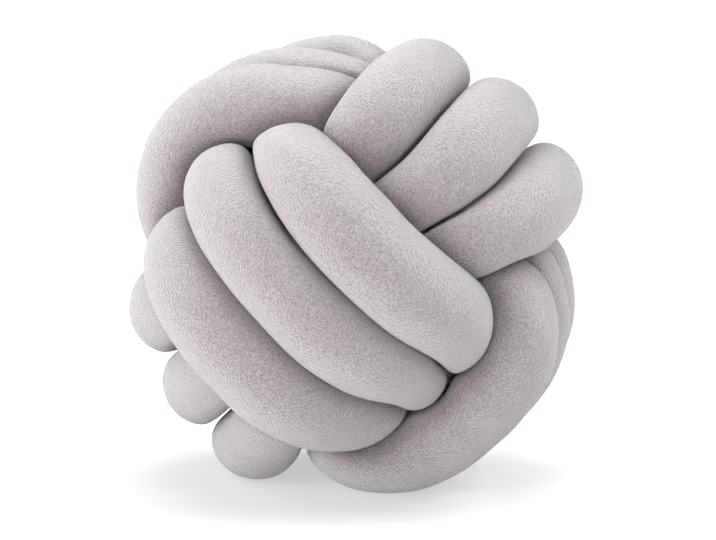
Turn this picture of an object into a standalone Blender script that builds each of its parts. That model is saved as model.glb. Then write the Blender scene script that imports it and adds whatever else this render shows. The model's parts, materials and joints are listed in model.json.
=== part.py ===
"""Knot cushion: one long stuffed plush sleeve wound into a ball-shaped knot.

Metres, +Z up, the front of the knot faces -Y, the origin is under the middle
of the ball on the surface it rests on.

The sleeve makes three bands of three side-by-side turns. Each band passes
over one of its neighbours and under the other. The two ends are joined and
tucked into the middle, so the whole cushion is one closed, padded tube: a loft
through rings that are round where the sleeve is free and pressed flat where it
meets another strand.
"""
import math

import bpy
import numpy as np
from mathutils.bvhtree import BVHTree

# ---------------------------------------------------------------- sizes
WIND = 0.056            # one sleeve-width of winding; lengths below are in this unit unless in metres
SLEEVE_RADIUS = 0.535   # radius of the sleeve where nothing presses on it
CREASE = 0.0012         # metres left between two strands that press together
NUDGE = 0.0004          # metres a facet draws in wherever it would cut into another strand
NUDGE_ROUNDS = 60
SAG = 0.0040            # metres the padding flattens where the ball stands
PRESS = 10              # how sharply a pressed strand turns from round to flat
THINNEST = 0.03         # a pressed strand keeps at least this radius

# How finely the sleeve is faceted.
AROUND = 16             # facets around the sleeve
STEP_OUTSIDE = 0.30     # spacing of the rings where the sleeve can be seen
STEP_INSIDE = 0.48      # spacing of the rings tucked inside
INSIDE_TO = 1.55        # passes nearer to the middle than this are inside
INSIDE_FADE = 0.40
LINE_STEP = 0.14        # spacing of the points of the winding line
TURN_POINTS = 780       # points worked out along each band before they are spaced evenly
BRIDGE_POINTS = 30      # points of each hidden run between bands

# How the knot is turned: the front band leans to the lower left of the viewer.
LEAN = 17.5             # degrees
LOOK_DOWN = 3.0         # degrees
SQUARENESS = 3.0        # 2 makes each turn an oval, higher makes it boxier
HIDDEN = 28.0           # degrees of each inner pass used to step to the next turn
CORNER = 0.6            # cosine of the angle where an outer pass starts to turn inward
TUCK_GAP = 0.60         # spacing of the three turns where they are tucked in
BRIDGE_PULL = 1.2       # how far a hidden run goes straight on before it bends
MIDDLE_PULL = 1.5       # the same, for the run of the joined ends through the middle

# One row per turn, in winding order. near and far are the sideways places of its
# two outer passes, and swing_* moves it sideways at the corners on the near side.
# reach_* is how far the outer passes stand from the middle, tuck_* how far the
# inner passes do, and flare makes the turn wider at its near end than at its far end.
TURN_COLUMNS = ("band", "lane", "near", "far", "swing_ahead", "swing_behind",
                "reach_near", "reach_far", "tuck_ahead", "tuck_behind", "flare")
TURNS = (
    ("front", -1.00, -0.88, -0.92, 0.06, 0.10, 2.14, 2.05, 0.97, 1.60, 0.00),
    ("front", 0.00, -0.02, 0.00, 0.12, -0.01, 2.19, 2.25, 1.05, 1.71, 0.00),
    ("front", 1.00, 0.75, 0.88, 0.04, -0.10, 2.15, 2.05, 1.19, 1.34, 0.00),
    ("right", -1.00, -0.91, -1.16, 0.00, 0.04, 1.99, 1.92, 1.20, 1.25, 0.00),
    ("right", 0.10, -0.04, -0.29, 0.05, 0.08, 2.22, 2.28, 1.25, 1.30, 0.00),
    ("right", 1.45, 0.82, 0.55, 0.00, -0.05, 2.06, 2.40, 1.20, 1.14, 0.00),
    ("side", -1.00, -0.97, -0.82, -0.06, -0.05, 1.96, 2.20, 1.26, 1.20, 0.20),
    ("side", 0.00, -0.10, 0.10, 0.03, 0.03, 2.08, 2.25, 1.39, 1.26, 0.08),
    ("side", 1.00, 0.79, 1.02, -0.06, -0.06, 2.10, 2.12, 1.44, 1.44, -0.09),
)

# Easing the strands apart where the winding squeezes them too far.
EASE_ROUNDS = 40
EASE_RESPACE = 5        # rounds between spacing the points evenly again
EASE_CONTACT = 0.64     # strands closer than this push each other away
EASE_SAME = 1.45        # points nearer than this along the sleeve are the same strand
EASE_RATE = 0.05
EASE_PULL = 0.10        # tightening of the hidden passes
EASE_STIFF = 0.30       # the stuffed sleeve resists kinks
KEPT_FROM = 1.70        # passes further out than this keep their place
KEPT_FADE = 0.35

PLUSH_COLOUR = (0.55, 0.52, 0.515, 1.0)
PLUSH_ROUGHNESS = 0.95


def clear():
    for ob in list(bpy.data.objects):
        bpy.data.objects.remove(ob, do_unlink=True)


def ramp(x):
    x = np.clip(x, 0.0, 1.0)
    return x * x * (3.0 - 2.0 * x)


def unit(v):
    return v / np.linalg.norm(v, axis=-1, keepdims=True)


def knot_axes():
    """Three square axes: out of the front band, out of the right band, out of the side band."""
    down, lean = math.radians(LOOK_DOWN), math.radians(LEAN)
    across = np.array([1.0, 0.0, 0.0])
    up = np.array([0.0, math.sin(down), math.cos(down)])
    toward = np.array([0.0, -math.cos(down), math.sin(down)])
    upper_right, lower_right = unit(across + up), unit(across - up)
    front = math.cos(lean) * toward - math.sin(lean) * upper_right
    right = math.cos(lean) * upper_right + math.sin(lean) * toward
    return front, right, lower_right


def wind_band(name, outward, ahead, lane_axis):
    """Three turns, starting and ending on the inner pass behind."""
    turns = [dict(zip(TURN_COLUMNS, row)) for row in TURNS if row[0] == name]
    angle = np.linspace(-90.0 + HIDDEN, 990.0 - HIDDEN, TURN_POINTS)

    def along(column):
        value = np.full_like(angle, turns[0][column])
        for k in (1, 2):
            start = -90.0 + 360.0 * k - HIDDEN
            value += (turns[k][column] - turns[k - 1][column]) * ramp((angle - start) / (2.0 * HIDDEN))
        return value

    c, s = np.cos(np.radians(angle)), np.sin(np.radians(angle))
    power = 2.0 / SQUARENESS
    out = np.where(c >= 0, along("reach_near"), along("reach_far")) * np.sign(c) * np.abs(c) ** power
    tuck = np.where(s >= 0, along("tuck_ahead"), along("tuck_behind"))
    widen = 1.0 + along("flare") * np.sign(c) * np.abs(c) ** power
    fwd = tuck * widen * np.sign(s) * np.abs(s) ** power
    outside = ramp(np.abs(c) / CORNER)
    tucked = along("lane") * TUCK_GAP
    place = tucked + (np.where(c >= 0, along("near"), along("far")) - tucked) * outside
    near_corner = outside * (1.0 - ramp(2.0 * np.abs(c) - 1.0)) * (c > 0)
    side = place + near_corner * np.where(s >= 0, along("swing_ahead"), along("swing_behind"))
    return out[:, None] * outward + fwd[:, None] * ahead + side[:, None] * lane_axis


def bridge(p0, d0, p1, d1):
    """Smooth hidden run from p0 heading d0 to p1 heading d1."""
    t = np.linspace(0.0, 1.0, BRIDGE_POINTS + 2)[1:-1, None]
    return ((2 * t ** 3 - 3 * t ** 2 + 1) * p0 + (t ** 3 - 2 * t ** 2 + t) * d0
            + (3 * t ** 2 - 2 * t ** 3) * p1 + (t ** 3 - t ** 2) * d1)


def respace(points, step):
    """The closed line again, its points `step` apart (one number, or one per point)."""
    ring = np.vstack([points, points[:1]])
    run = np.linalg.norm(np.diff(ring, axis=0), axis=1)
    weight = run / step
    at = np.concatenate([[0.0], np.cumsum(weight)])
    count = int(round(at[-1]))
    want = np.arange(count) * at[-1] / count
    return np.stack([np.interp(want, at, ring[:, k]) for k in range(3)], axis=1)


def winding_line():
    front, right, side = knot_axes()
    a = wind_band("front", front, side, right)
    b = wind_band("right", right, -front, side)
    c = wind_band("side", side, -right, -front)

    def head(run):
        return unit(run[1] - run[0])

    def tail(run):
        return unit(run[-1] - run[-2])

    middle = np.zeros(3)
    through = unit(a[0] - c[-1])
    return respace(np.vstack([
        a, bridge(a[-1], BRIDGE_PULL * tail(a), b[0], BRIDGE_PULL * head(b)),
        b, bridge(b[-1], BRIDGE_PULL * tail(b), c[0], BRIDGE_PULL * head(c)),
        c, bridge(c[-1], MIDDLE_PULL * tail(c), middle, MIDDLE_PULL * through),
        middle[None], bridge(middle, MIDDLE_PULL * through, a[0], MIDDLE_PULL * head(a)),
    ]), LINE_STEP)


def steps_between(count):
    index = np.arange(count)
    gap = np.abs(index[:, None] - index[None])
    return np.minimum(gap, count - gap)


def bow(points):
    return (np.roll(points, 1, axis=0) + np.roll(points, -1, axis=0)) / 2.0 - points


def ease_apart(points):
    """Slide squeezed passes off each other; the passes on the outside keep their place."""
    for turn in range(EASE_ROUNDS):
        apart = points[:, None] - points[None]
        dist = np.linalg.norm(apart, axis=2)
        near = (steps_between(len(points)) * LINE_STEP > EASE_SAME) & (dist < EASE_CONTACT)
        share = np.where(near, EASE_CONTACT - dist, 0.0) / np.maximum(dist, 1e-3)
        push = EASE_RATE * (share[:, :, None] * apart).sum(axis=1)
        bend = bow(points)
        free = 1.0 - ramp((np.linalg.norm(points, axis=1) - KEPT_FROM) / KEPT_FADE)
        points = points + free[:, None] * (push + EASE_PULL * bend) - EASE_STIFF * bow(bend)
        if (turn + 1) % EASE_RESPACE == 0:
            points = respace(points, LINE_STEP)
    return points


def ring_stations(line):
    """Rings closer together on the outside of the ball than inside it."""
    outside = ramp((np.linalg.norm(line, axis=1) - INSIDE_TO) / INSIDE_FADE)
    return respace(line, STEP_INSIDE + (STEP_OUTSIDE - STEP_INSIDE) * outside)


def carried_frames(points, heading):
    """Two cross directions per station, carried along the line with the least twist."""
    def carry(i, j, direction):
        step = points[j] - points[i]
        mirrored = direction - 2.0 * step.dot(direction) / step.dot(step) * step
        turned = heading[i] - 2.0 * step.dot(heading[i]) / step.dot(step) * step
        fix = heading[j] - turned
        return mirrored - 2.0 * fix.dot(mirrored) / max(fix.dot(fix), 1e-12) * fix

    count = len(points)
    first = np.zeros_like(points)
    first[0] = unit(np.cross(heading[0], (0.0, 0.0, 1.0)))
    for i in range(1, count):
        first[i] = carry(i - 1, i, first[i - 1])
    back = carry(count - 1, 0, first[-1])
    twist = math.atan2(back.dot(np.cross(heading[0], first[0])), back.dot(first[0]))
    turn = -twist * np.arange(count) / count
    second = np.cross(heading, first)
    first = np.cos(turn)[:, None] * first + np.sin(turn)[:, None] * second
    return first, np.cross(heading, first)


def pressed_rings(line, stations):
    """Ring points: round where free, flat halfway to the next strand where pressed."""
    heading = unit(np.roll(stations, -1, axis=0) - np.roll(stations, 1, axis=0))
    first, second = carried_frames(stations, heading)
    around = 2.0 * math.pi * np.arange(AROUND) / AROUND
    spoke = (np.cos(around)[None, :, None] * first[:, None]
             + np.sin(around)[None, :, None] * second[:, None])
    limit = np.full((len(stations), AROUND), 99.0)
    for i, centre in enumerate(stations):
        to = line - centre
        square = (to * to).sum(axis=1)
        keep = (square < (4.6 * SLEEVE_RADIUS) ** 2) & (square > (1.4 * LINE_STEP) ** 2)
        facing = spoke[i] @ to[keep].T
        halfway = np.where(facing > 1e-6, square[keep] / (2.0 * np.maximum(facing, 1e-6)), 99.0)
        limit[i] = halfway.min(axis=1)
    limit = np.maximum(limit - 0.5 * CREASE / WIND, THINNEST)
    radius = (SLEEVE_RADIUS ** -PRESS + limit ** -PRESS) ** (-1.0 / PRESS)
    return (stations[:, None] + radius[:, :, None] * spoke) * WIND


def tube_triangles(count):
    """Two triangles per patch between one ring and the next, all the way round."""
    i, k = np.arange(count)[:, None], np.arange(AROUND)[None]
    j, m = (i + 1) % count, (k + 1) % AROUND
    a, b, c, d = i * AROUND + k, i * AROUND + m, j * AROUND + m, j * AROUND + k
    return np.stack([np.stack([a, b, c], axis=-1), np.stack([a, c, d], axis=-1)], axis=2).reshape(-1, 3)


def draw_in_where_cutting(rings, stations):
    """Draw facets in toward the middle of their own strand until none cuts another strand."""
    count = len(rings)
    faces = tube_triangles(count)
    face_list, face_ring = faces.tolist(), faces[:, 0] // AROUND
    points = rings.reshape(-1, 3).copy()
    inward = np.repeat(stations * WIND, AROUND, axis=0) - points
    depth = np.linalg.norm(inward, axis=1)
    inward /= depth[:, None]
    drawn = np.zeros(len(points))
    for _ in range(NUDGE_ROUNDS):
        tree = BVHTree.FromPolygons(points.tolist(), face_list, all_triangles=True)
        pairs = np.array(tree.overlap(tree), dtype=int).reshape(-1, 2)
        gap = np.abs(face_ring[pairs[:, 0]] - face_ring[pairs[:, 1]])
        pairs = pairs[np.minimum(gap, count - gap) > 1]
        if not len(pairs):
            break
        hit = np.unique(faces[pairs.ravel()])
        step = np.minimum(NUDGE, 0.1 * (depth[hit] - drawn[hit]))
        points[hit] += step[:, None] * inward[hit]
        drawn[hit] += step
    return points.reshape(rings.shape)


def stand_on_flat(rings):
    """Set the ball down so that its lowest padding is pressed flat at z = 0."""
    low, high = rings.reshape(-1, 3).min(axis=0), rings.reshape(-1, 3).max(axis=0)
    middle = (low + high) / 2.0
    rings = rings - np.array([middle[0], middle[1], low[2] + SAG])
    rings[:, :, 2] = np.maximum(rings[:, :, 2], 0.0)
    return rings


def plush():
    """Light warm grey, matt, short pile."""
    mat = bpy.data.materials.new("plush")
    mat.use_nodes = True
    shader = mat.node_tree.nodes["Principled BSDF"]
    shader.inputs["Base Color"].default_value = PLUSH_COLOUR
    shader.inputs["Roughness"].default_value = PLUSH_ROUGHNESS
    shader.inputs["Metallic"].default_value = 0.0
    return mat


def closed_tube(name, rings, mat, collection):
    mesh = bpy.data.meshes.new(name)
    mesh.from_pydata(rings.reshape(-1, 3).tolist(), [], tube_triangles(len(rings)).tolist())
    mesh.shade_smooth()
    mesh.materials.append(mat)
    ob = bpy.data.objects.new(name, mesh)
    collection.objects.link(ob)
    return ob


clear()
cushion = bpy.data.collections.new("knot_cushion")
bpy.context.scene.collection.children.link(cushion)
line = ease_apart(winding_line())
stations = ring_stations(line)
rings = draw_in_where_cutting(pressed_rings(line, stations), stations)
closed_tube("knot_cushion", stand_on_flat(rings), plush(), cushion)
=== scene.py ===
"""Knot cushion: the plush sleeve wound into a ball, as it looks. Metres, +Z up, front towards -Y."""

import json
import math

import bpy
import numpy as np
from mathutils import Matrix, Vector

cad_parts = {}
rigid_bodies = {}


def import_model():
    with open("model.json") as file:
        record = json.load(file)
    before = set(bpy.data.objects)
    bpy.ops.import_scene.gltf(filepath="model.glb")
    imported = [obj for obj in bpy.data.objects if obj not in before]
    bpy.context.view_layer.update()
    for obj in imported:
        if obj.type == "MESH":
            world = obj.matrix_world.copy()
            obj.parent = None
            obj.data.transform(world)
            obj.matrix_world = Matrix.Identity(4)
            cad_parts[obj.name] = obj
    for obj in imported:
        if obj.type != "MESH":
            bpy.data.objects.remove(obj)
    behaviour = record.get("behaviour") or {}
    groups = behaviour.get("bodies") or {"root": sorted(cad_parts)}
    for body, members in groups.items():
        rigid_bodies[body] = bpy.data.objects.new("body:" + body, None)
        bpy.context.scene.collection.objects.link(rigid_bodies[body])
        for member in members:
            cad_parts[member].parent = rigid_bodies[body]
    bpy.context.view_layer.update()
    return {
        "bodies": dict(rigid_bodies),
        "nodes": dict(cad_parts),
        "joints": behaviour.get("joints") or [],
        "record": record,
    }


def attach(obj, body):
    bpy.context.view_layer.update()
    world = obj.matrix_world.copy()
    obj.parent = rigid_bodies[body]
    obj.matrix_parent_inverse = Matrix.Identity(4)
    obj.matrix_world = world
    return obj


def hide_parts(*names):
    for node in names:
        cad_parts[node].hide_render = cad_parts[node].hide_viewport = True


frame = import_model()

# ---------------------------------------------------------------- the winding, as in the CAD
WIND = 0.056            # metres: the unit of the lengths below, unless they are given in metres
SLEEVE_RADIUS = 0.535   # radius of the sleeve where nothing presses on it
SAG = 0.0040            # metres the padding flattens where the ball stands
PRESS = 14              # how sharply a pressed strand turns from round to flat
THINNEST = 0.03         # a pressed strand keeps at least this radius
LINE_STEP = 0.14        # spacing of the points of the winding line
TURN_POINTS = 780       # points worked out along each band before they are spaced evenly
BRIDGE_POINTS = 30      # points of each hidden run between bands

LEAN = 17.5             # degrees
LOOK_DOWN = 3.0         # degrees
SQUARENESS = 3.0        # 2 makes each turn an oval, higher makes it boxier
HIDDEN = 28.0           # degrees of each inner pass used to step to the next turn
CORNER = 0.6            # cosine of the angle where an outer pass starts to turn inward
TUCK_GAP = 0.60         # spacing of the three turns where they are tucked in
BRIDGE_PULL = 1.2       # how far a hidden run goes straight on before it bends
MIDDLE_PULL = 1.5       # the same, for the run of the joined ends through the middle

# One row per turn, in winding order. near and far are the sideways places of its
# two outer passes, and swing_* moves it sideways at the corners on the near side.
# reach_* is how far the outer passes stand from the middle, tuck_* how far the
# inner passes do, and flare makes the turn wider at its near end than at its far end.
TURN_COLUMNS = ("band", "lane", "near", "far", "swing_ahead", "swing_behind",
                "reach_near", "reach_far", "tuck_ahead", "tuck_behind", "flare")
TURNS = (
    ("front", -1.00, -0.88, -0.92, 0.06, 0.10, 2.14, 2.05, 0.97, 1.60, 0.00),
    ("front", 0.00, -0.02, 0.00, 0.12, -0.01, 2.19, 2.25, 1.05, 1.71, 0.00),
    ("front", 1.00, 0.75, 0.88, 0.04, -0.10, 2.15, 2.05, 1.19, 1.34, 0.00),
    ("right", -1.00, -0.91, -1.16, 0.00, 0.04, 1.99, 1.92, 1.20, 1.25, 0.00),
    ("right", 0.10, -0.04, -0.29, 0.05, 0.08, 2.22, 2.28, 1.25, 1.30, 0.00),
    ("right", 1.45, 0.82, 0.55, 0.00, -0.05, 2.06, 2.40, 1.20, 1.14, 0.00),
    ("side", -1.00, -0.97, -0.82, -0.06, -0.05, 1.96, 2.20, 1.26, 1.20, 0.20),
    ("side", 0.00, -0.10, 0.10, 0.03, 0.03, 2.08, 2.25, 1.39, 1.26, 0.08),
    ("side", 1.00, 0.79, 1.02, -0.06, -0.06, 2.10, 2.12, 1.44, 1.44, -0.09),
)

# Easing the strands apart where the winding squeezes them too far.
EASE_ROUNDS = 40
EASE_RESPACE = 5        # rounds between spacing the points evenly again
EASE_CONTACT = 0.64     # strands closer than this push each other away
EASE_SAME = 1.45        # points nearer than this along the sleeve are the same strand
EASE_RATE = 0.05
EASE_PULL = 0.10        # tightening of the hidden passes
EASE_STIFF = 0.30       # the stuffed sleeve resists kinks
KEPT_FROM = 1.70        # passes further out than this keep their place
KEPT_FADE = 0.35

# ---------------------------------------------------------------- the stuffed sleeve
SMOOTHING = 4           # rounds that take the corners off the winding line
OPEN = 99.0             # a distance that stands for nothing in the way
STRAND_REACH = 4.6      # sleeve radii within which another strand can press
NEXT_DOOR = 1.4         # line steps within which a point belongs to the same stretch of sleeve
LUMP = 0.0004           # metres the stuffing pushes the sleeve out or in
LUMP_WAVES = 36         # waves added up to make the lumps
LUMP_PARTS = 6.0        # each wave makes one part in this many
LUMP_MOST = 1.6         # the sum stays within this
LUMP_SEED = 7

# ---------------------------------------------------------------- the sleeve as cloth
CLOTH_AROUND = 28       # points around the sleeve while it is cloth
CLOTH_STEP = 0.14       # spacing of its rings
CLOTH_GAP = 0.0006      # metres between the turns before the sleeve swells
SLACK = 0.999           # radius of the sleeve before it swells, as a share of its radius after
PRESSURE = 10.0
SETTLE_FRAMES = 7
MOST_MOVED = 0.006      # metres any point may move
TOUCH = 0.0006          # metres at which two faces of the cloth stop one another
CLOTH_SETTINGS = {
    "quality": 5, "mass": 0.15, "air_damping": 3.0,
    "tension_stiffness": 15.0, "compression_stiffness": 10.0,
    "shear_stiffness": 5.0, "bending_stiffness": 0.5,
    "tension_damping": 10.0, "compression_damping": 10.0,
    "shear_damping": 10.0, "bending_damping": 1.0,
    "use_pressure": True, "uniform_pressure_force": PRESSURE,
}
TOUCH_SETTINGS = {
    "use_collision": True, "use_self_collision": True, "self_distance_min": TOUCH,
    "self_friction": 2.0, "collision_quality": 2,
}


def ramp(x):
    x = np.clip(x, 0.0, 1.0)
    return x * x * (3.0 - 2.0 * x)


def unit(v):
    return v / np.linalg.norm(v, axis=-1, keepdims=True)


def knot_axes():
    """Three square axes: out of the front band, out of the right band, out of the side band."""
    down, lean = math.radians(LOOK_DOWN), math.radians(LEAN)
    across = np.array([1.0, 0.0, 0.0])
    up = np.array([0.0, math.sin(down), math.cos(down)])
    toward = np.array([0.0, -math.cos(down), math.sin(down)])
    upper_right, lower_right = unit(across + up), unit(across - up)
    front = math.cos(lean) * toward - math.sin(lean) * upper_right
    right = math.cos(lean) * upper_right + math.sin(lean) * toward
    return front, right, lower_right


def wind_band(name, outward, ahead, lane_axis):
    """Three turns, starting and ending on the inner pass behind."""
    turns = [dict(zip(TURN_COLUMNS, row)) for row in TURNS if row[0] == name]
    angle = np.linspace(-90.0 + HIDDEN, 990.0 - HIDDEN, TURN_POINTS)

    def along(column):
        value = np.full_like(angle, turns[0][column])
        for k in (1, 2):
            start = -90.0 + 360.0 * k - HIDDEN
            value += (turns[k][column] - turns[k - 1][column]) * ramp((angle - start) / (2.0 * HIDDEN))
        return value

    c, s = np.cos(np.radians(angle)), np.sin(np.radians(angle))
    power = 2.0 / SQUARENESS
    out = np.where(c >= 0, along("reach_near"), along("reach_far")) * np.sign(c) * np.abs(c) ** power
    tuck = np.where(s >= 0, along("tuck_ahead"), along("tuck_behind"))
    widen = 1.0 + along("flare") * np.sign(c) * np.abs(c) ** power
    fwd = tuck * widen * np.sign(s) * np.abs(s) ** power
    outside = ramp(np.abs(c) / CORNER)
    tucked = along("lane") * TUCK_GAP
    place = tucked + (np.where(c >= 0, along("near"), along("far")) - tucked) * outside
    near_corner = outside * (1.0 - ramp(2.0 * np.abs(c) - 1.0)) * (c > 0)
    side = place + near_corner * np.where(s >= 0, along("swing_ahead"), along("swing_behind"))
    return out[:, None] * outward + fwd[:, None] * ahead + side[:, None] * lane_axis


def bridge(p0, d0, p1, d1):
    """Smooth hidden run from p0 heading d0 to p1 heading d1."""
    t = np.linspace(0.0, 1.0, BRIDGE_POINTS + 2)[1:-1, None]
    return ((2 * t ** 3 - 3 * t ** 2 + 1) * p0 + (t ** 3 - 2 * t ** 2 + t) * d0
            + (3 * t ** 2 - 2 * t ** 3) * p1 + (t ** 3 - t ** 2) * d1)


def respace(points, step):
    """The closed line again, its points `step` apart (one number, or one per point)."""
    ring = np.vstack([points, points[:1]])
    run = np.linalg.norm(np.diff(ring, axis=0), axis=1)
    weight = run / step
    at = np.concatenate([[0.0], np.cumsum(weight)])
    count = int(round(at[-1]))
    want = np.arange(count) * at[-1] / count
    return np.stack([np.interp(want, at, ring[:, k]) for k in range(3)], axis=1)


def winding_line():
    front, right, side = knot_axes()
    a = wind_band("front", front, side, right)
    b = wind_band("right", right, -front, side)
    c = wind_band("side", side, -right, -front)

    def head(run):
        return unit(run[1] - run[0])

    def tail(run):
        return unit(run[-1] - run[-2])

    middle = np.zeros(3)
    through = unit(a[0] - c[-1])
    return respace(np.vstack([
        a, bridge(a[-1], BRIDGE_PULL * tail(a), b[0], BRIDGE_PULL * head(b)),
        b, bridge(b[-1], BRIDGE_PULL * tail(b), c[0], BRIDGE_PULL * head(c)),
        c, bridge(c[-1], MIDDLE_PULL * tail(c), middle, MIDDLE_PULL * through),
        middle[None], bridge(middle, MIDDLE_PULL * through, a[0], MIDDLE_PULL * head(a)),
    ]), LINE_STEP)


def steps_between(count):
    index = np.arange(count)
    gap = np.abs(index[:, None] - index[None])
    return np.minimum(gap, count - gap)


def bow(points):
    return (np.roll(points, 1, axis=0) + np.roll(points, -1, axis=0)) / 2.0 - points


def ease_apart(points):
    """Slide squeezed passes off each other; the passes on the outside keep their place."""
    for turn in range(EASE_ROUNDS):
        apart = points[:, None] - points[None]
        dist = np.linalg.norm(apart, axis=2)
        near = (steps_between(len(points)) * LINE_STEP > EASE_SAME) & (dist < EASE_CONTACT)
        share = np.where(near, EASE_CONTACT - dist, 0.0) / np.maximum(dist, 1e-3)
        push = EASE_RATE * (share[:, :, None] * apart).sum(axis=1)
        bend = bow(points)
        free = 1.0 - ramp((np.linalg.norm(points, axis=1) - KEPT_FROM) / KEPT_FADE)
        points = points + free[:, None] * (push + EASE_PULL * bend) - EASE_STIFF * bow(bend)
        if (turn + 1) % EASE_RESPACE == 0:
            points = respace(points, LINE_STEP)
    return points


def smooth_line(points, rounds):
    for _ in range(rounds):
        points = points - 0.3 * bow(bow(points))
    return points


def carried_frames(points, heading):
    """Two cross directions per station, carried along the line with the least twist."""
    def carry(i, j, direction):
        step = points[j] - points[i]
        mirrored = direction - 2.0 * step.dot(direction) / step.dot(step) * step
        turned = heading[i] - 2.0 * step.dot(heading[i]) / step.dot(step) * step
        fix = heading[j] - turned
        return mirrored - 2.0 * fix.dot(mirrored) / max(fix.dot(fix), 1e-12) * fix

    count = len(points)
    first = np.zeros_like(points)
    first[0] = unit(np.cross(heading[0], (0.0, 0.0, 1.0)))
    for i in range(1, count):
        first[i] = carry(i - 1, i, first[i - 1])
    back = carry(count - 1, 0, first[-1])
    twist = math.atan2(back.dot(np.cross(heading[0], first[0])), back.dot(first[0]))
    turn = -twist * np.arange(count) / count
    second = np.cross(heading, first)
    first = np.cos(turn)[:, None] * first + np.sin(turn)[:, None] * second
    return first, np.cross(heading, first)


def lumps(count, around):
    """Slow, soft unevenness over the unrolled sleeve, seamless both ways."""
    rng = np.random.default_rng(LUMP_SEED)
    u = 2.0 * math.pi * np.arange(count)[:, None] / count
    v = 2.0 * math.pi * np.arange(around)[None] / around
    total = np.zeros((count, around))
    for _ in range(LUMP_WAVES):
        waves, rounds = rng.integers(45, 240), rng.integers(0, 4)
        total += np.cos(waves * u + rounds * v + rng.uniform(0, 2 * math.pi)) / LUMP_PARTS
    return np.clip(total, -LUMP_MOST, LUMP_MOST)


def pressed_rings(line, stations, around, crease, fill=1.0):
    """Rings along the sleeve: round where it is free, flat where it meets the middle of a crease."""
    heading = unit(np.roll(stations, -1, axis=0) - np.roll(stations, 1, axis=0))
    first, second = carried_frames(stations, heading)
    turn = 2.0 * math.pi * np.arange(around) / around
    spoke = (np.cos(turn)[None, :, None] * first[:, None]
             + np.sin(turn)[None, :, None] * second[:, None])
    limit = np.full((len(stations), around), OPEN)
    for i, centre in enumerate(stations):
        to = line - centre
        square = (to * to).sum(axis=1)
        keep = (square < (STRAND_REACH * SLEEVE_RADIUS) ** 2) & (square > (NEXT_DOOR * LINE_STEP) ** 2)
        facing = spoke[i] @ to[keep].T
        halfway = np.where(facing > 1e-6, square[keep] / (2.0 * np.maximum(facing, 1e-6)), OPEN)
        limit[i] = halfway.min(axis=1)
    limit = np.maximum(limit - 0.5 * crease / WIND, THINNEST)
    free = SLEEVE_RADIUS * fill + LUMP / WIND * lumps(len(stations), around)
    radius = (free ** -PRESS + limit ** -PRESS) ** (-1.0 / PRESS)
    return (stations[:, None] + radius[:, :, None] * spoke) * WIND


def stand_on_flat(rings):
    """Set the ball on the floor over the middle of the CAD footprint, pressed flat where it stands."""
    low, high = rings.reshape(-1, 3).min(axis=0), rings.reshape(-1, 3).max(axis=0)
    middle = (low + high) / 2.0
    rings = rings - np.array([middle[0], middle[1], low[2] + SAG])
    rings[:, :, 2] = np.maximum(rings[:, :, 2], 0.0)
    return rings


def sleeve_mesh(name, rings):
    count, around = rings.shape[:2]
    i, k = np.arange(count)[:, None], np.arange(around)[None]
    j, m = (i + 1) % count, (k + 1) % around
    quads = np.stack([i * around + k, i * around + m, j * around + m, j * around + k], axis=-1)
    mesh = bpy.data.meshes.new(name)
    mesh.from_pydata(rings.reshape(-1, 3).tolist(), [], quads.reshape(-1, 4).tolist())
    mesh.polygons.foreach_set("use_smooth", [True] * len(mesh.polygons))
    mesh.update()
    ob = bpy.data.objects.new(name, mesh)
    bpy.context.scene.collection.objects.link(ob)
    return ob


def swelled(rings):
    """Blow the sleeve up as cloth until its turns press on one another; return where it settles."""
    sleeve = sleeve_mesh("sleeve_being_stuffed", rings)
    stuffing = sleeve.modifiers.new("stuffing", "CLOTH")
    for name, value in CLOTH_SETTINGS.items():
        setattr(stuffing.settings, name, value)
    for name, value in TOUCH_SETTINGS.items():
        setattr(stuffing.collision_settings, name, value)
    stuffing.settings.effector_weights.gravity = 0.0
    stuffing.point_cache.frame_start, stuffing.point_cache.frame_end = 1, SETTLE_FRAMES
    scene = bpy.context.scene
    for frame in range(1, SETTLE_FRAMES + 1):
        scene.frame_set(frame)
    settled = sleeve.evaluated_get(bpy.context.evaluated_depsgraph_get())
    places = np.empty(rings.size)
    settled.data.vertices.foreach_get("co", places)
    bpy.data.objects.remove(sleeve, do_unlink=True)
    scene.frame_set(1)
    moved = places.reshape(rings.shape) - rings
    length = np.linalg.norm(moved, axis=-1, keepdims=True)
    return rings + moved * np.minimum(1.0, MOST_MOVED / np.maximum(length, 1e-9))


def finer(sleeve):
    """One level of subdivision, kept on the mesh."""
    sleeve.modifiers.new("finer", "SUBSURF").levels = 1
    smooth = bpy.data.meshes.new_from_object(sleeve.evaluated_get(bpy.context.evaluated_depsgraph_get()))
    sleeve.modifiers.clear()
    sleeve.data = smooth
    return sleeve


# ---------------------------------------------------------------- materials
TUFT_SCALE = 960.0      # little tufts, under 2 mm
TIP_SCALE = 1700.0      # the tips of the pile
TIP_SHARE = 0.35        # how much of the pile's height the tips make
PILE_RANGE = (0.37, 0.63)       # pile heights shown from the darkest to the lightest shade
LAY_SCALE = 22.0        # where the pile has been stroked
LAY_RANGE = (0.3, 0.7)
LAY_SHADE = 0.05        # how far stroking shifts the shade
PILE_DARK = (0.232, 0.213, 0.217, 1.0)
PILE_LIGHT = (0.408, 0.382, 0.384, 1.0)
PILE_DEPTH = 0.0026     # metres
CREASE_PAINTED_SHADE = (0.54, 0.475, 0.525, 1.0)  # painted shade: the pile colour darkened and tinted mauve inside a crease, where shade falls
PAINTED_SHADE_REACH = 0.045    # metres from a crease where the painted shade starts
PAINTED_SHADE_RANGE = (0.30, 0.95)     # openness where the painted shade is full and where it ends
PAPER = (0.33, 0.33, 0.33, 1.0)
PAPER_NEAR = 0.50       # painted light: glow of the paper beside the ball, lower than away from it, which paints a shadow round the ball on top of its real one
PAPER_FAR = 1.1         # and away from it
PAPER_FADE = (0.10, 0.34)       # metres from the middle over which it goes from one to the other, which sets the size of the painted shadow


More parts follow.
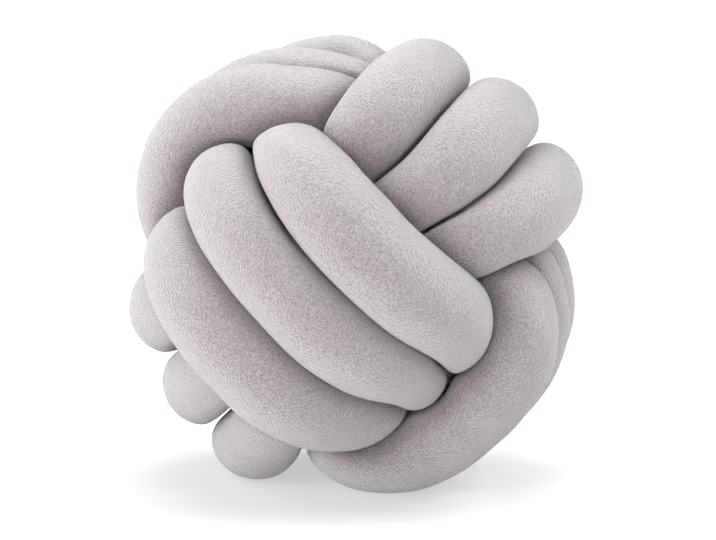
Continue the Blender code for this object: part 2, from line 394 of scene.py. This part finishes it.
def nodes_of(name):
    mat = bpy.data.materials.new(name)
    mat.use_nodes = True
    tree = mat.node_tree
    return mat, tree, tree.nodes["Principled BSDF"]


def noise(tree, coords, scale, detail, rough=0.55, swirl=0.0):
    node = tree.nodes.new("ShaderNodeTexNoise")
    node.inputs["Scale"].default_value = scale
    node.inputs["Detail"].default_value = detail
    node.inputs["Roughness"].default_value = rough
    node.inputs["Distortion"].default_value = swirl
    tree.links.new(coords, node.inputs["Vector"])
    return node.outputs["Fac"]


def span(tree, value, low, high, to_low=0.0, to_high=1.0):
    node = tree.nodes.new("ShaderNodeMapRange")
    node.inputs["From Min"].default_value = low
    node.inputs["From Max"].default_value = high
    node.inputs["To Min"].default_value = to_low
    node.inputs["To Max"].default_value = to_high
    tree.links.new(value, node.inputs["Value"])
    return node.outputs["Result"]


def math_node(tree, kind, a, b):
    node = tree.nodes.new("ShaderNodeMath")
    node.operation = kind
    for socket, value in zip(node.inputs, (a, b)):
        if isinstance(value, (int, float)):
            socket.default_value = value
        else:
            tree.links.new(value, socket)
    return node.outputs["Value"]


def plush():
    """Short plush: little curled tufts in two shades, painted shade darkening the colour in the creases,
    a soft light bloom where it turns away.
    """
    mat, tree, shader = nodes_of("warm_grey_plush")
    coords = tree.nodes.new("ShaderNodeTexCoord").outputs["Object"]
    tuft = noise(tree, coords, TUFT_SCALE, 1.0, 0.5, swirl=0.6)
    tip = noise(tree, coords, TIP_SCALE, 2.0, 0.6)
    lay = noise(tree, coords, LAY_SCALE, 2.0, 0.5)
    pile = math_node(tree, "ADD", math_node(tree, "MULTIPLY", tuft, 1.0 - TIP_SHARE),
                     math_node(tree, "MULTIPLY", tip, TIP_SHARE))
    shade = math_node(tree, "ADD", span(tree, pile, *PILE_RANGE, -0.5, 0.5),
                      span(tree, lay, *LAY_RANGE, -LAY_SHADE, LAY_SHADE))
    mix = tree.nodes.new("ShaderNodeMix")
    mix.data_type = "RGBA"
    mix.inputs["A"].default_value = PILE_DARK
    mix.inputs["B"].default_value = PILE_LIGHT
    tree.links.new(span(tree, shade, -0.5, 0.5), mix.inputs["Factor"])
    # painted shade: ambient occlusion darkens the colour towards the mauve tint where the creases hide
    # the pile from light
    hidden = tree.nodes.new("ShaderNodeAmbientOcclusion")
    hidden.samples = 8
    hidden.only_local = True
    hidden.inputs["Distance"].default_value = PAINTED_SHADE_REACH
    painted_shade = tree.nodes.new("ShaderNodeMix")
    painted_shade.data_type = "RGBA"
    painted_shade.blend_type = "MULTIPLY"
    tree.links.new(span(tree, hidden.outputs["AO"], *PAINTED_SHADE_RANGE, 1.0, 0.0), painted_shade.inputs["Factor"])
    tree.links.new(mix.outputs["Result"], painted_shade.inputs["A"])
    painted_shade.inputs["B"].default_value = CREASE_PAINTED_SHADE
    tree.links.new(painted_shade.outputs["Result"], shader.inputs["Base Color"])
    shader.inputs["Roughness"].default_value = 0.95
    shader.inputs["Specular IOR Level"].default_value = 0.15
    shader.inputs["Sheen Weight"].default_value = 1.0
    shader.inputs["Sheen Roughness"].default_value = 0.35
    shader.inputs["Sheen Tint"].default_value = (1.0, 0.99, 0.99, 1.0)
    bump = tree.nodes.new("ShaderNodeBump")
    bump.inputs["Strength"].default_value = 1.0
    bump.inputs["Distance"].default_value = PILE_DEPTH
    tree.links.new(pile, bump.inputs["Height"])
    tree.links.new(bump.outputs["Normal"], shader.inputs["Normal"])
    return mat


def floor_white():
    """Seamless white paper: matt, with painted light: it glows and so lights the ball from below, dimmer
    beside the ball as a painted shadow, and lifted to pure white away from the ball.
    """
    mat, tree, shader = nodes_of("studio_white")
    shader.inputs["Base Color"].default_value = PAPER
    shader.inputs["Roughness"].default_value = 0.9
    shader.inputs["Specular IOR Level"].default_value = 0.0
    shader.inputs["Emission Color"].default_value = (1.0, 1.0, 1.0, 1.0)
    coords = tree.nodes.new("ShaderNodeTexCoord").outputs["Object"]
    length = tree.nodes.new("ShaderNodeVectorMath")
    length.operation = "LENGTH"
    tree.links.new(coords, length.inputs[0])
    tree.links.new(span(tree, length.outputs["Value"], *PAPER_FADE, PAPER_NEAR, PAPER_FAR),
                   shader.inputs["Emission Strength"])
    return mat


# ---------------------------------------------------------------- the cushion
line = ease_apart(winding_line())
stations = smooth_line(respace(line, CLOTH_STEP), SMOOTHING)
rings = swelled(pressed_rings(line, stations, CLOTH_AROUND, CLOTH_GAP, SLACK))
cushion = finer(sleeve_mesh("plush_sleeve", stand_on_flat(rings)))
cushion.data.materials.append(plush())
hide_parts("knot_cushion")
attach(cushion, "root")

# ---------------------------------------------------------------- studio
FAR = 30.0              # metres to the floor's edges
FLOOR_DROP = 0.0004     # metres, so that the floor and the flat of the ball don't share a plane
SOFTBOX = 1.3           # metres across
SOFTBOX_AWAY = 2.1      # metres from the ball
CAMERA_AWAY = 0.896     # metres from the ball
CAMERA_LENS = 68.7      # millimetres, on a film 36 mm wide
ROOM_GLOW = 0.04        # light of the room on the ball
ROOM_WHITE = 1.05       # how white the room looks behind it
centre = (0.0016, 0.0, 0.1372)

mesh = bpy.data.meshes.new("floor")
mesh.from_pydata([(x, y, 0.0) for x, y in ((-FAR, -FAR), (FAR, -FAR), (FAR, FAR), (-FAR, FAR))],
                 [], [(0, 1, 2, 3)])
floor = bpy.data.objects.new("floor", mesh)
floor.location.z = -FLOOR_DROP
bpy.context.scene.collection.objects.link(floor)
mesh.materials.append(floor_white())


def soft_light(name, turn, height, power, colour):
    """A round softbox aimed at the ball; turn 0 is in front, positive to the right, both in degrees."""
    data = bpy.data.lights.new(name, "AREA")
    data.shape = "DISK"
    data.size = SOFTBOX
    data.energy = power
    data.color = colour
    around, up = math.radians(turn), math.radians(height)
    aim = Vector((math.sin(around) * math.cos(up), -math.cos(around) * math.cos(up), math.sin(up)))
    ob = bpy.data.objects.new(name, data)
    ob.location = Vector(centre) + SOFTBOX_AWAY * aim
    ob.rotation_euler = (-aim).to_track_quat("-Z", "Y").to_euler()
    bpy.context.scene.collection.objects.link(ob)


soft_light("key_left", -45.0, 20.0, 37.0, (1.0, 0.93, 0.93))
soft_light("low_fill", -5.0, 5.0, 27.0, (1.0, 0.97, 0.97))
soft_light("side_right", 100.0, 40.0, 51.0, (1.0, 0.96, 1.0))
soft_light("side_left", -100.0, 40.0, 20.0, (1.0, 1.0, 0.97))
soft_light("overhead", 0.0, 88.0, 39.0, (0.90, 1.0, 0.98))

world = bpy.data.worlds.new("studio")
world.use_nodes = True
tree = world.node_tree
back = tree.nodes["Background"]
path = tree.nodes.new("ShaderNodeLightPath")
back.inputs["Color"].default_value = (1.0, 1.0, 1.0, 1.0)
strength = tree.nodes.new("ShaderNodeMapRange")
strength.inputs["To Min"].default_value = ROOM_GLOW
strength.inputs["To Max"].default_value = ROOM_WHITE
tree.links.new(path.outputs["Is Camera Ray"], strength.inputs["Value"])
tree.links.new(strength.outputs["Result"], back.inputs["Strength"])
bpy.context.scene.world = world
bpy.context.scene.view_settings.view_transform = "Standard"

# The camera looks at the ball from a little above, far enough for mild perspective.
lens = bpy.data.cameras.new("camera")
lens.sensor_width, lens.lens = 36.0, CAMERA_LENS
camera = bpy.data.objects.new("camera", lens)
away = math.radians(LOOK_DOWN)
camera.location = Vector(centre) + CAMERA_AWAY * Vector((0.0, -math.cos(away), math.sin(away)))
camera.rotation_euler = (Vector(centre) - camera.location).to_track_quat("-Z", "Y").to_euler()
bpy.context.scene.collection.objects.link(camera)
bpy.context.scene.camera = camera
